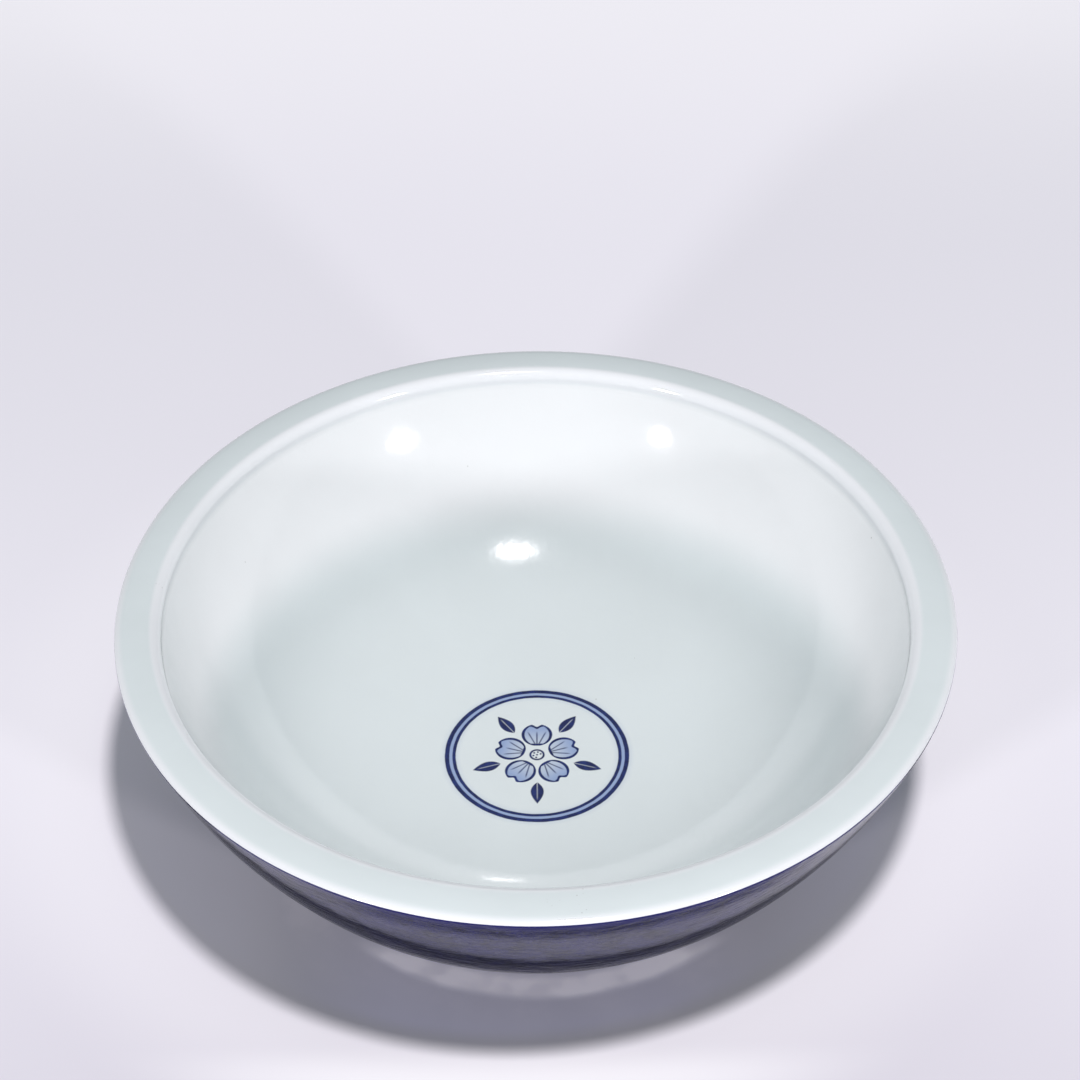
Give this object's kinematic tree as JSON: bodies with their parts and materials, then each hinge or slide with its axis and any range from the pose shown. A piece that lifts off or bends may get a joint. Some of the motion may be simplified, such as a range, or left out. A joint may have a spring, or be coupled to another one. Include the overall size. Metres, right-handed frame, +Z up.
{
  "type": "alms bowl",
  "caption": "Wide open porcelain bowl with a thick flat lip, clear glaze inside, speckled blue glaze outside, a low foot ring and a painted double ring on the floor.",
  "frame": {"origin": "centre of the foot ring's resting plane", "axes": "+Z up along the bowl's axis, +Y away from the viewer, +X to the viewer's right"},
  "size_m": [0.2648, 0.2648, 0.09],
  "materials": {
    "porcelain": "bare fired clay, matt",
    "clear_glaze": "glossy, faintly green-white",
    "blue_glaze": "glossy speckled powder blue",
    "cobalt": "glossy dark blue underglaze painting",
    "pale_wash": "glossy pale blue underglaze wash"
  },
  "bodies": {
    "root": {"porcelain_body": "porcelain", "inner_clear_glaze": "clear_glaze", "base_clear_glaze": "clear_glaze", "ring_field_glaze": "clear_glaze", "outer_blue_glaze": "blue_glaze", "outer_ring_line": "cobalt", "inner_ring_line": "cobalt", "ring_wash": "pale_wash", "blossom_heart": "cobalt", "petal_1": "pale_wash", "petal_2": "pale_wash", "petal_3": "pale_wash", "petal_4": "pale_wash", "petal_5": "pale_wash", "leaf_1": "cobalt", "leaf_2": "cobalt", "leaf_3": "cobalt", "leaf_4": "cobalt", "leaf_5": "cobalt"}
  },
  "joints": []
}
